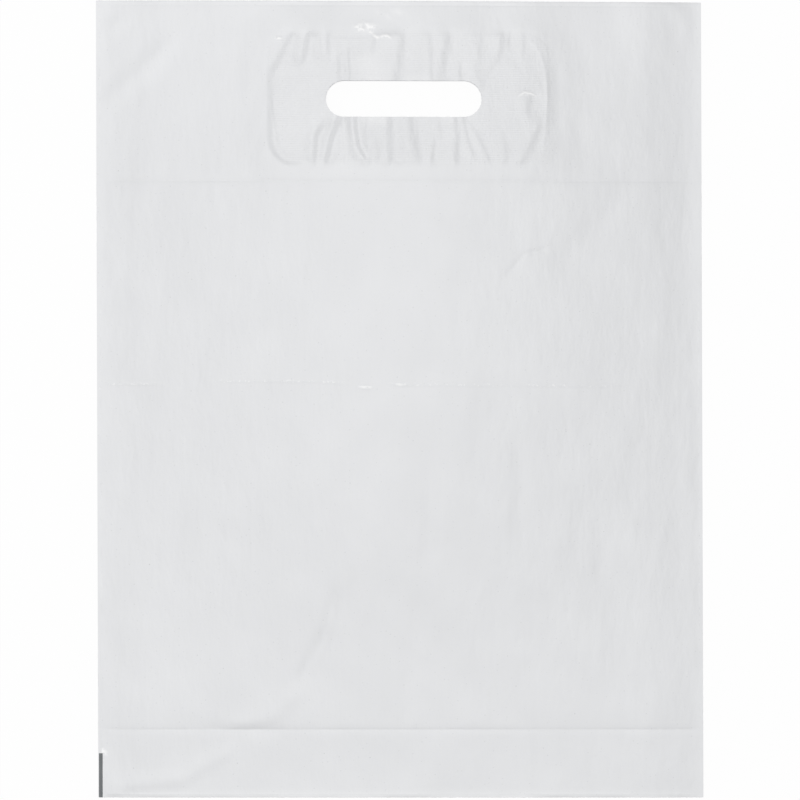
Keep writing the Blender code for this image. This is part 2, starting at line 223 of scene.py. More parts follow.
# Crumpled film, bent so hard that it turned white, and small glints: points along each and half width.
# The white drawn along them is partly film turned white by stress and partly painted glints.
CRUMPLES = (
    (((-0.027, 0.2159), (-0.0242, 0.2154), (-0.0215, 0.2145)), 0.00045),
    (((-0.0252, 0.2125), (-0.0229, 0.2134), (-0.0213, 0.2163), (-0.019, 0.2186)), 0.0005),
    (((-0.0232, 0.2153), (-0.021, 0.2141), (-0.0188, 0.213)), 0.0007),
    (((-0.0194, 0.2133), (-0.0168, 0.2157), (-0.0146, 0.2158), (-0.0122, 0.2176)), 0.00105),
    (((-0.0195, 0.2169), (-0.0172, 0.2166)), 0.0005),
    (((-0.0182, 0.213), (-0.0155, 0.212), (-0.014, 0.2121)), 0.00045),
    (((-0.0159, 0.2102), (-0.0146, 0.2105), (-0.0123, 0.2094), (-0.0101, 0.2097)), 0.00085),
    (((-0.0123, 0.2094), (-0.009, 0.2101), (-0.0067, 0.2104), (-0.0032, 0.2086)), 0.0007),
    (((0.0682, 0.1748), (0.0726, 0.1776), (0.0763, 0.177), (0.0806, 0.1748)), 0.0005),
    (((-0.0724, 0.2091), (-0.0664, 0.2084)), 0.0006),
    (((-0.0235, 0.0069), (-0.0155, 0.0069)), 0.0006),
    (((-0.002, 0.0083), (0.003, 0.0083)), 0.0005),
    (((-0.175, -0.203), (-0.1735, -0.2042), (-0.1708, -0.2036)), 0.0006),
)
CRUMPLE_HEIGHT = 0.00022

# Painted highlights, paler marks where the light would catch the tilted film and the bottom fold:
# points along each, half width and share
PAINTED_HIGHLIGHTS = (
    (((-0.0215, 0.201), (-0.0155, 0.1905), (-0.011, 0.179)), 0.0075, 0.2),
    (((-0.023, 0.1625), (-0.004, 0.1612)), 0.003, 0.2),
    (((0.002, 0.184), (0.02, 0.184)), 0.004, 0.12),
    (((0.02, 0.162), (0.034, 0.162)), 0.0025, 0.12),
    (((-0.0095, 0.2205), (-0.0037, 0.2228), (0.004, 0.2258)), 0.0012, 0.28),
    (((-0.013, 0.2208), (-0.0108, 0.2262)), 0.0009, 0.2),
    (((-0.176, BOTTOM + 0.001), (0.176, BOTTOM + 0.001)), 0.0022, 0.14),
)

# How blunt or sharp the tops of folds and creases are, and how soon they fade at
# their ends
BLUNT = 2
SHARP = 1.5
FOLD_FADE = 0.004
SOFT_FADE = 0.016

# How far from the side welds and the bag's ends the film is held flat
SIDE_HOLD = 0.006
END_HOLD = 0.0015

# Slow waves in the film: their seed, how many, their length and height
WAVE_SEED = 7
WAVES = 14
WAVE_LENGTHS = (0.018, 0.07)
WAVE_HEIGHT = 0.000028

# How far the bag leans to the left per unit of height, and how much lower its
# mouth is at the right
LEAN = 0.0031
MOUTH_SKEW = 0.0012

# Mesh: spacing of the strip's points, steps round a fold and what each fold takes of
# the strip, steps round a corner, spacing of the patches' points, and the angle up
# to which edges are shaded smooth
COLUMN = 0.0062
ROW = 0.0062
FOLD_STEPS = 8
FOLD_SPAN = 0.001
ARC_STEPS = 24
FRONT_PATCH_STEP = 0.0015
BACK_PATCH_STEP = 0.01
SMOOTH_ANGLE = math.radians(40)

# Rows for a pressed line, in its half widths, and for the storage crease
PRESSED_ROWS = (-1.4, 0, 1.4)
CREASE_MARGIN = 0.0012
CREASE_STEPS = 4

# How far the zones of finer mesh reach past what they cover, and the half width
# from which a crease needs none
CREASE_ZONE = 0.006
PATCH_ZONE = 0.006
LEFT_ZONE = 0.008
RIGHT_ZONE = 0.019
GATHER_ZONE = 0.003
FINE_ZONE = 0.0018
NARROW = 0.0012

# How far apart things may be and still count as in one place
ROW_TOLERANCE = 1e-9
EDGE_TOLERANCE = 1e-7
POINT_TOLERANCE = 1e-6

# Height of the blocks that cut and trim
BLOCK_HEIGHT = 0.05

# How far under the front panel's middle surface a point still belongs to it
ON_TOP = LOOSE_PITCH / 4


def smooth(value):
    """0 up to 0, 1 from 1, and a smooth rise between."""
    t = np.clip(value, 0, 1)
    return t * t * (3 - 2 * t)


def from_weld(x):
    """Distance from where the sheets part, just inside the nearer side weld."""
    return np.maximum(FREE_EDGE - np.abs(x), 0)


def pitch(x):
    """Height from one sheet to the next: close at the welds, looser inside."""
    return WELD_PITCH + (LOOSE_PITCH - WELD_PITCH) * smooth(from_weld(x) / FAN_LENGTH)


def patch_room(x):
    """Extra height in the turned-in top for the patch, none at the welds."""
    return PATCH_ROOM * smooth(from_weld(x) / PATCH_ROOM_RUN)


def air(x, y):
    """Height of the air inside the bag, a pillow that runs out softly all round."""
    out = np.minimum(np.abs(x), FREE_EDGE) / FREE_EDGE
    across = (1 - out**2) ** EDGE_SOFTNESS
    along = smooth((y - BOTTOM) / AIR_RISE)
    fall = smooth((y - MOUTH + MOUTH_FALL) / MOUTH_FALL)
    return across * along * (AIR_HEIGHT + (MOUTH_GAPE - AIR_HEIGHT) * fall)


def ripples(x, y):
    """Ripples along the open mouth, which the film behind it soon flattens."""
    total = np.zeros_like(x)
    for length, share, phase in RIPPLES:
        total += share * np.sin(2 * math.pi * x / length + phase)
    inside = smooth(from_weld(x) / RIPPLE_RUN) * np.exp((y - MOUTH) / RIPPLE_RUN)
    return RIPPLE_HEIGHT * total * inside


def front_base(x, y):
    """The front panel's middle surface before anything is pressed into it."""
    hem = smooth((y - HEM_EDGE) / STEP_LENGTH + 1)
    gusset = smooth((GUSSET_FOLD - y) / STEP_LENGTH + 1)
    layers = pitch(x) * (1 + 2 * hem + 2 * gusset) + patch_room(x) * hem
    return film_wall() / 2 + layers + air(x, y) + ripples(x, y)


def from_patch_edge(x, y):
    """Distance from a point to the patch's outline, below 0 over the patch."""
    dx = np.abs(x - PATCH_CENTRE[0]) - (PATCH_LENGTH / 2 - PATCH_CORNER)
    dy = np.abs(y - PATCH_CENTRE[1]) - (PATCH_WIDTH / 2 - PATCH_CORNER)
    out = np.hypot(np.maximum(dx, 0), np.maximum(dy, 0))
    return out + np.minimum(np.maximum(dx, dy), 0) - PATCH_CORNER


def over_patch(x, y):
    """1 over the patch, 0 past the shoulder where the film comes down beside it."""
    left = smooth((PATCH_LOW.x - x) / PATCH_CORNER + 1)
    right = smooth((x - PATCH_HIGH.x) / PATCH_CORNER + 1)
    shoulder = SHOULDER + LEFT_SHOULDER * left + RIGHT_SHOULDER * right
    return 1 - smooth((from_patch_edge(x, y) + LEFT_SHIFT * left) / shoulder)


def handle(x, y):
    """How far the film stands up over the patch: lifted all over, more so at the
    patch's lower ends, and stepped up and down along the puckers."""
    lift = PATCH_LIFT * (1 - smooth(from_patch_edge(x, y) / LIFT_RUN))
    lift += PATCH_STEP * (1 - smooth(from_patch_edge(x, y) / STEP_RUN))
    start, end = RISE_RUN
    across = x - PATCH_CENTRE[0]
    rise = np.where(across < 0, LEFT_RISE, RIGHT_RISE)
    rise *= smooth((np.abs(across) - start) / (end - start))
    rise *= smooth((PATCH_HIGH.y - y) / RISE_FADE)
    gathered = np.zeros_like(x)
    for points, height, width in PUCKERS:
        away, from_end, length = along_line(x, y, points)
        off = math.copysign(1, -points[0][0]) * away / width
        step = off / (1 + off**2) * np.exp(-((off / PUCKER_REACH) ** 2))
        gathered += height * step * faded(from_end, length, PUCKER_FADE)
    past = from_patch_edge(x, y) / GATHER_RUN + GATHER_EARLY
    gathered *= bag_settings().gathers * (1 - smooth(past))
    return lift + over_patch(x, y) * rise + gathered


def along_line(x, y, points):
    """Distance to a line of points, below 0 on its right, how far along the nearest
    place on it is from its ends, and its length."""
    away = np.full_like(x, np.inf)
    run = np.zeros_like(x)
    before = 0
    for (ax, ay), (bx, by) in zip(points, points[1:]):
        length = math.dist((ax, ay), (bx, by))
        run_x, run_y = (bx - ax) / length, (by - ay) / length
        along = np.clip((x - ax) * run_x + (y - ay) * run_y, 0, length)
        off = np.hypot(x - ax - along * run_x, y - ay - along * run_y)
        nearer = off < np.abs(away)
        left = (y - ay) * run_x - (x - ax) * run_y
        run = np.where(nearer, before + along, run)
        away = np.where(nearer, np.copysign(off, left), away)
        before += length
    return away, np.minimum(run, before - run), before


def faded(from_end, length, fade):
    """1 along a line, 0 at both of its ends. A short line fades over a third of it."""
    return smooth(from_end / min(fade, length / 3))


def fold_mark(x, y, points, width, power=BLUNT, fade=FOLD_FADE):
    """1 on a line of points, fading to its sides and to both of its ends."""
    away, from_end, length = along_line(x, y, points)
    return np.exp(-(np.abs(away / width) ** power)) * faded(from_end, length, fade)


def storage_crease(x, y):
    """How strongly the storage crease marks the film."""
    return np.max([fold_mark(x, y, line, STORAGE_HALF_WIDTH) for line in STORAGE_CREASE], axis=0)


def crumple(x, y):
    """How strongly the film is crumpled."""
    return np.max([fold_mark(x, y, line, width) for line, width in CRUMPLES], axis=0)


def painted_highlight(x, y):
    """How strongly highlights are painted on the film."""
    return np.max([share * fold_mark(x, y, line, width) for line, width, share in PAINTED_HIGHLIGHTS], axis=0)


def waves(x, y):
    """Slow waves that run through the film in all directions."""
    draw = np.random.default_rng(WAVE_SEED)
    total = np.zeros_like(x)
    for _ in range(WAVES):
        turn, phase = draw.uniform(0, 2 * math.pi, 2)
        length = draw.uniform(*WAVE_LENGTHS)
        way = (x * math.cos(turn) + y * math.sin(turn)) / length
        total += length / WAVE_LENGTHS[1] * np.sin(2 * math.pi * way + phase)
    return WAVE_HEIGHT * total


def relief(x, y):
    """What stands up from the front panel or is pressed into it, no deeper than the
    sheet below it allows."""
    total = waves(x, y)
    for points, height, width in SOFT_FOLDS:
        total += height * fold_mark(x, y, points, width, fade=SOFT_FADE)
    for points, height, width in SHARP_CREASES:
        total += height * fold_mark(x, y, points, width, power=SHARP)
    total += STORAGE_HEIGHT * storage_crease(x, y)
    total += CRUMPLE_HEIGHT * crumple(x, y)
    for line, height, width in PRESSED_LINES:
        total += height * np.exp(-(((y - line) / width) ** 2))
    ends = np.minimum(MOUTH - y, y - BOTTOM)
    total *= smooth(from_weld(x) / SIDE_HOLD) * smooth(ends / END_HOLD)
    room = pitch(x) - film_wall() + air(x, y) * (y < HEM_EDGE)
    return np.where(total < 0, room * np.tanh(total / room), total)


def front_panel(x, y):
    """The front panel's middle surface."""
    return front_base(x, y) + relief(x, y) + handle(x, y)


def front_hem(x, y):
    """The front's turned-in top, one sheet below the front panel."""
    return front_base(x, y) - pitch(x)


def front_leaf(x, y):
    """The gusset's upper leaf."""
    return film_wall() / 2 + 2 * pitch(x)


def back_leaf(x, y):
    """The gusset's lower leaf."""
    return film_wall() / 2 + pitch(x)


def back_panel(x, y):
    """The back panel, flat on the surface."""
    return np.full_like(x, film_wall() / 2)


def back_hem(x, y):
    """The back's turned-in top, over the back patch."""
    return film_wall() / 2 + pitch(x) + patch_room(x)


# The strip from end to end: each sheet with its height, where it starts and
# stops, and how far apart its rows of points are
SHEETS = (
    (front_hem, HEM_EDGE, MOUTH, 0.0150),
    (front_panel, MOUTH, BOTTOM, ROW),
    (front_leaf, BOTTOM, GUSSET_FOLD, 0.0400),
    (back_leaf, GUSSET_FOLD, BOTTOM, 0.0400),
    (back_panel, BOTTOM, MOUTH, 0.1000),
    (back_hem, MOUTH, HEM_EDGE, 0.0400),
)
FRONT = 1


def bag_settings():
    """The bag's values in the panel."""
    return bpy.context.scene.carrier_bag


def film_wall():
    """Thickness of the film."""
    return bag_settings().film_thickness


def sheet_start(number):
    """Where a sheet starts along the unfolded strip."""
    return sum(abs(end - start) + FOLD_SPAN for _, start, end, _ in SHEETS[:number])


def fold_radius(x, number):
    """Radius of the fold between a sheet of the strip and the next one."""
    height, _, line, _ = SHEETS[number]
    at_line = np.full_like(x, line)
    return np.abs(SHEETS[number + 1][0](x, at_line) - height(x, at_line)) / 2


def folded(x, along):
    """Places in the folded bag of points of the unfolded strip."""
    place = np.zeros((len(x), 3))
    starts = [sheet_start(number) for number in range(len(SHEETS))]
    sheet_of = np.searchsorted(starts, along + ROW_TOLERANCE, side="right") - 1
    for number, (height, start, end, _) in enumerate(SHEETS):
        mine = sheet_of == number
        across, run = x[mine], along[mine] - starts[number]
        length, way = abs(end - start), 1 if end > start else -1
        first, last = np.full_like(across, start), np.full_like(across, end)
        if number:
            first += way * (film_wall() / 2 + fold_radius(across, number - 1))
        turned = np.zeros_like(across)
        if number < len(SHEETS) - 1:
            last -= way * (film_wall() / 2 + fold_radius(across, number))
            turned = np.clip((run - length) / FOLD_SPAN, 0, 1) * math.pi
        y = first + (last - first) * np.clip(run / length, 0, 1)
        z = height(across, y)
        if number < len(SHEETS) - 1:
            at_line = np.full_like(across, end)
            here = height(across, at_line)
            there = SHEETS[number + 1][0](across, at_line)
            bent = turned > 0
            y = y + way * fold_radius(across, number) * np.sin(turned)
            z = np.where(bent, (here + there) / 2 + (here - there) / 2 * np.cos(turned), z)
        place[mine] = np.column_stack([across, y, z])
    return place


def spread(marks, step):
    """The marks with evenly spaced places between them, at most a step apart."""
    places = [marks[0]]
    for start, end in zip(marks, marks[1:]):
        count = max(math.ceil(abs(end - start) / step - POINT_TOLERANCE), 1)
        places += [start + (end - start) * (i + 1) / count for i in range(count)]
    return places


def front_marks():
    """Places down the front panel that need rows of their own."""
    marks = {MOUTH, BOTTOM}
    for line, _, width in PRESSED_LINES:
        marks |= {line + step * width for step in PRESSED_ROWS}
    crease = [y for line in STORAGE_CREASE for _, y in line]
    low, high = min(crease) - CREASE_MARGIN, max(crease) + CREASE_MARGIN
    marks |= {low + (high - low) * i / CREASE_STEPS for i in range(CREASE_STEPS + 1)}
    return sorted((y for y in marks if BOTTOM <= y <= MOUTH), reverse=True)


def strip_rows():
    """Places along the unfolded strip that get a row of points."""
    rows = []
    for number, (_, start, end, step) in enumerate(SHEETS):
        marks = front_marks() if number == FRONT else [start, end]
        first = sheet_start(number)
        rows += [first + abs(place - start) for place in spread(marks, step)]
        if number < len(SHEETS) - 1:
            last = first + abs(end - start)
            rows += [last + FOLD_SPAN * i / FOLD_STEPS for i in range(1, FOLD_STEPS)]
    return rows


def strip_columns():
    """Places across the strip, closer by the side welds."""
    half = math.ceil(FREE_EDGE / COLUMN)
    inside = [FREE_EDGE * i / half for i in range(-half, half + 1)]
    sunk = INNER_EDGE + WELD_WIDTH / 2
    return [-sunk, *inside, sunk]


def on_panel(x, y):
    """Everywhere on the front panel."""
    return np.ones_like(x, dtype=bool)


def in_detail(x, y):
    """Where the film bends over and round the patch, and by the longest crease."""
    near_crease = np.abs(along_line(x, y, SHARP_CREASES[0][0])[0]) < CREASE_ZONE
    beside = (PATCH_LOW.x - LEFT_ZONE < x) & (x < PATCH_HIGH.x + RIGHT_ZONE)
    level = (PATCH_LOW.y - PATCH_ZONE < y) & (y < PATCH_HIGH.y + PATCH_ZONE)
    return near_crease | beside & level


def in_gathers(x, y):
    """Over the patch, where the film is gathered."""
    return from_patch_edge(x, y) < GATHER_ZONE


def in_fine_detail(x, y):
    """Along the patch's edge, and the crumples and narrow creases by the mouth."""
    lines = [points for points, _ in CRUMPLES]
    lines += [points for points, _, width in SHARP_CREASES if width < NARROW]
    by_mouth = [points for points in lines if points[0][1] > HEM_EDGE]
    near = [np.abs(along_line(x, y, points)[0]) < FINE_ZONE for points in by_mouth]
    near.append(np.abs(from_patch_edge(x, y) - STEP_RUN / 2) < FINE_ZONE)
    return np.any(near, axis=0)


def deselect_all():
    """Leaves edit mode and selects nothing."""
    if bpy.context.object and bpy.context.object.mode != "OBJECT":
        bpy.ops.object.mode_set(mode="OBJECT")
    bpy.ops.object.select_all(action="DESELECT")


def only(piece):
    """Makes a piece the one that operators act on."""
    deselect_all()
    piece.select_set(True)
    bpy.context.view_layer.objects.active = piece


def finer(shape, wanted, across_only=False):
    """Halves the edges of the wanted faces of the front panel, or only those of
    their edges that run across."""
    faces = list(shape.faces)
    centres = np.array([face.calc_center_median()[:2] for face in faces])
    run = centres[:, 1] - sheet_start(FRONT)
    chosen = (run > -FOLD_SPAN) & (run < LENGTH + FOLD_SPAN) & wanted(centres[:, 0], MOUTH - run)
    edges = {edge for face, choose in zip(faces, chosen) if choose for edge in face.edges}
    if across_only:
        edges = {e for e in edges if abs(e.verts[0].co.y - e.verts[1].co.y) < EDGE_TOLERANCE}
    bmesh.ops.subdivide_edges(shape, edges=list(edges), cuts=1, use_grid_fill=True)


def fold_strip(name):
    """A grid with the strip's rows and columns, made finer on the front panel and
    where that is gathered, and then folded into the bag."""
    columns, rows = strip_columns(), strip_rows()
    deselect_all()
    bpy.ops.mesh.primitive_grid_add(
        x_subdivisions=len(columns) - 1, y_subdivisions=len(rows) - 1, size=1
    )
    strip = bpy.context.object
    strip.name = strip.data.name = name
    x, y = np.meshgrid(columns, rows)
    flat = np.column_stack([x.ravel(), y.ravel(), np.zeros(x.size)])
    strip.data.vertices.foreach_set("co", flat.ravel())
    shape = bmesh.new()
    shape.from_mesh(strip.data)
    finer(shape, on_panel)
    finer(shape, in_detail)
    finer(shape, in_gathers, across_only=True)
    finer(shape, in_fine_detail)
    many_sided = [face for face in shape.faces if len(face.verts) > 4]
    bmesh.ops.triangulate(shape, faces=many_sided)
    shape.to_mesh(strip.data)
    shape.free()
    flat = points_of(strip.data)
    strip.data.vertices.foreach_set("co", folded(flat[:, 0], flat[:, 1]).ravel())
    strip.data.update()
    return strip


def points_of(mesh):
    """The mesh's points as rows of x, y and z."""
    places = np.empty(len(mesh.vertices) * 3)
    mesh.vertices.foreach_get("co", places)
    return places.reshape(-1, 3)


def apply_modifier(piece, kind, **values):
    """Adds a modifier to a piece, sets it and applies it."""
    only(piece)
    modifier = piece.modifiers.new(kind.lower(), kind)
    for key, value in values.items():
        setattr(modifier, key, value)
    bpy.ops.object.modifier_apply(modifier=modifier.name)


def thicken(piece, wall):
    """Gives a middle surface its wall, half to each side."""
    apply_modifier(
        piece, "SOLIDIFY", thickness=wall, offset=0, use_even_offset=True, use_quality_normals=True
    )


def combine(piece, other, operation):
    """Joins another closed shape to a piece or cuts with it, and removes it."""
    apply_modifier(piece, "BOOLEAN", operation=operation, object=other, solver="MANIFOLD")
    bpy.data.objects.remove(other, do_unlink=True)


def edit_edges(block, axis, least):
    """Goes into edit mode and selects the edges that run further than a length
    along an axis."""
    bpy.ops.object.mode_set(mode="EDIT")
    bpy.ops.mesh.select_mode(type="EDGE")
    bpy.ops.mesh.select_all(action="DESELECT")
    shape = bmesh.from_edit_mesh(block.data)
    for edge in shape.edges:
        start, end = edge.verts
        edge.select_set(abs(start.co[axis] - end.co[axis]) > least)
    shape.select_flush_mode()
    bmesh.update_edit_mesh(block.data)


def rounded_block(name, centre, length, width, radius):
    """A tall block with rounded upright edges, to cut or trim the film with."""
    deselect_all()
    size = (length, width, BLOCK_HEIGHT)
    bpy.ops.mesh.primitive_cube_add(size=1, location=(*centre, 0), scale=size)
    block = bpy.context.object
    block.name = name
    bpy.ops.object.transform_apply(location=True, rotation=True, scale=True)
    edit_edges(block, 2, BLOCK_HEIGHT / 2)
    bpy.ops.mesh.bevel(offset=radius, segments=ARC_STEPS, affect="EDGES")
    bpy.ops.mesh.select_all(action="SELECT")
    bpy.ops.mesh.remove_doubles(threshold=POINT_TOLERANCE)
    bpy.ops.object.mode_set(mode="OBJECT")
    return block


def hand_hole():
    """The punch that cuts the hand hole, a hair short of fully round at its ends."""
    radius = HOLE_WIDTH / 2 - HOLE_FLAT
    return rounded_block("hand_hole", HOLE_CENTRE, HOLE_LENGTH, HOLE_WIDTH, radius)


def side_weld(side):
    """The bar of melted film down one long edge, as high as the sheets in it. Its
    underside stays inside the back panel's film."""
    deselect_all()
    bpy.ops.mesh.primitive_cube_add(size=1)
    weld = bpy.context.object
    weld.name = "side_weld"
    edit_edges(weld, 1, 0.5)
    bpy.ops.mesh.subdivide(number_cuts=round(LENGTH / ROW))
    bpy.ops.object.mode_set(mode="OBJECT")
    unit = points_of(weld.data)
    inner = np.full(len(unit), side * INNER_EDGE)
    x = side * (INNER_EDGE + WELD_WIDTH / 2) + unit[:, 0] * WELD_WIDTH
    y = unit[:, 1] * (LENGTH - film_wall())
    top = front_base(inner, y) + film_wall() / 2 + WELD_BEAD
    z = np.where(unit[:, 2] > 0, top, film_wall() / 4)
    weld.data.vertices.foreach_set("co", np.column_stack([x, y, z]).ravel())
    return weld


def settle(piece):
    """Leans a piece as the bag does: it was cut and folded slightly out of square."""
    x, y, z = points_of(piece.data).T
    drop = MOUTH_SKEW * (x / WIDTH + 0.5) * (np.maximum(y, 0) / MOUTH) ** 2
    place = np.column_stack([x - LEAN * y, y - drop, z])
    piece.data.vertices.foreach_set("co", place.ravel())
    piece.data.update()


def finish_piece(piece, surface, node):
    """Leans and smooths a sheet, gives it its material, hangs it under the root and hides the solid it
    stands for.
    """
    settle(piece)
    only(piece)
    bpy.ops.object.shade_smooth_by_angle(angle=SMOOTH_ANGLE)
    piece.data.materials.clear()
    piece.data.materials.append(surface)
    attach(piece, "root")
    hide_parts(node)


def mark_points(piece, name, values):
    """Stores a value for each point of a piece, for its material to read."""
    marks = piece.data.attributes.new(name, "FLOAT", "POINT")
    marks.data.foreach_set("value", values.astype(np.float32))


def linear(code):
    """Linear red, green and blue of an sRGB hex value."""
    parts = [int(code[i : i + 2], 16) / 255 for i in (1, 3, 5)]
    return [c / 12.92 if c <= 0.04045 else ((c + 0.055) / 1.055) ** 2.4 for c in parts]


def add_node(tree, kind, inputs=None, **settings):
    """Adds a shader node with its settings and with values or links for its inputs."""
    node = tree.nodes.new("ShaderNode" + kind)
    for key, value in settings.items():
        setattr(node, key, value)
    for key, value in (inputs or {}).items():
        if isinstance(value, bpy.types.NodeSocket):
            tree.links.new(value, node.inputs[key])
        else:
            node.inputs[key].default_value = value
    return node


def new_material(name):
    """A material with an empty shader and its position in the bag."""
    made = bpy.data.materials.new(name)
    made.use_nodes = True
    tree = made.node_tree
    shader = tree.nodes["Principled BSDF"]
    position = add_node(tree, "TexCoord").outputs["Object"]
    return made, tree, shader, position


# Sizes of the patterns in the film. The pitch of the ribs is a guess: the streaks
# over the patch in the photograph are fainter, less even and further apart.
MOTTLE = 0.030
STREAK = 0.0030
STREAK_LENGTH = 0.120
GRAIN = 0.0014
FLECK = 0.0016
CRINKLE = (0.012, 0.030)
CRINKLE_HEIGHT = 0.00030
GATHERED = (0.0040, 0.009)
GATHERED_HEIGHT = 0.00014
RIB_PITCH = 0.0013
RIB_HEIGHT = 0.000010
GRAIN_HEIGHT = 0.00002
RIB_DRIFT_SCALE = 60.0
RIB_DRIFT = 4.0
RIB_WEAR_SCALE = 170.0
SHEET_RIB_HEIGHT = 0.00005

# Roughness of the film, which varies between these as its tone does
FILM_ROUGHNESS = (0.31, 0.37)
POLYETHYLENE_IOR = 1.51

# How much each pattern and place lightens the film, or darkens it where below 0
CLOUD_TONE = 0.050
STREAK_TONE = 0.012
GRAIN_TONE = 0.012
HEM_TONE = 0.004
MOUTH_TONE = 0.045
GUSSET_TONE = 0.012
PATCH_TONE = -0.018
PATCH_GRAIN_TONE = 0.070
RIB_TONE = 0.026

# The same for the patch sheet, from a tone of its own
SHEET_TONE = 0.97
SHEET_CLOUD_TONE = 0.05
SHEET_RIB_TONE = 0.012

# Gels: their spacing and size, how dark the darkest are, and how rare those are;
# then where in that size their edge starts and ends, and their colour
GELS = ((0.0085, 0.0006, 0.32, 3.0), (0.0026, 0.0006, 0.16, 2.0))
GEL_CORE = 0.2
GEL_EDGE = 0.9
GEL_COLOUR = (*linear("#6F7477"), 1.0)

# Marks that turn the film paler, partly film turned white by stress and partly painted glints and
# highlights: from which fleck level to which, and how much
WHITE_AND_GLINT_MARKS = (
    ("whitening_and_glint", 0.26, 0.42, 1.0),
    # The storage crease's white specks: partly film turned white by stress, partly painted glints
    ("crease_whitening_and_glint", 0.58, 0.66, 0.45),
    ("painted_highlight", 0.00, 0.40, 1.0),
)
GLINT_AND_WHITE_COLOUR = (*linear("#FFFFFF"), 1.0)

# The printed bar on the left edge: its middle, width, top and ink, and how far up
# the film has to face to be the printed side
BAR_X = -0.17285
BAR_WIDTH = 0.0022
BAR_TOP = BOTTOM + 0.0256
BAR_INK = (*linear("#2A3236"), 1.0)
FACING_UP = 0.3


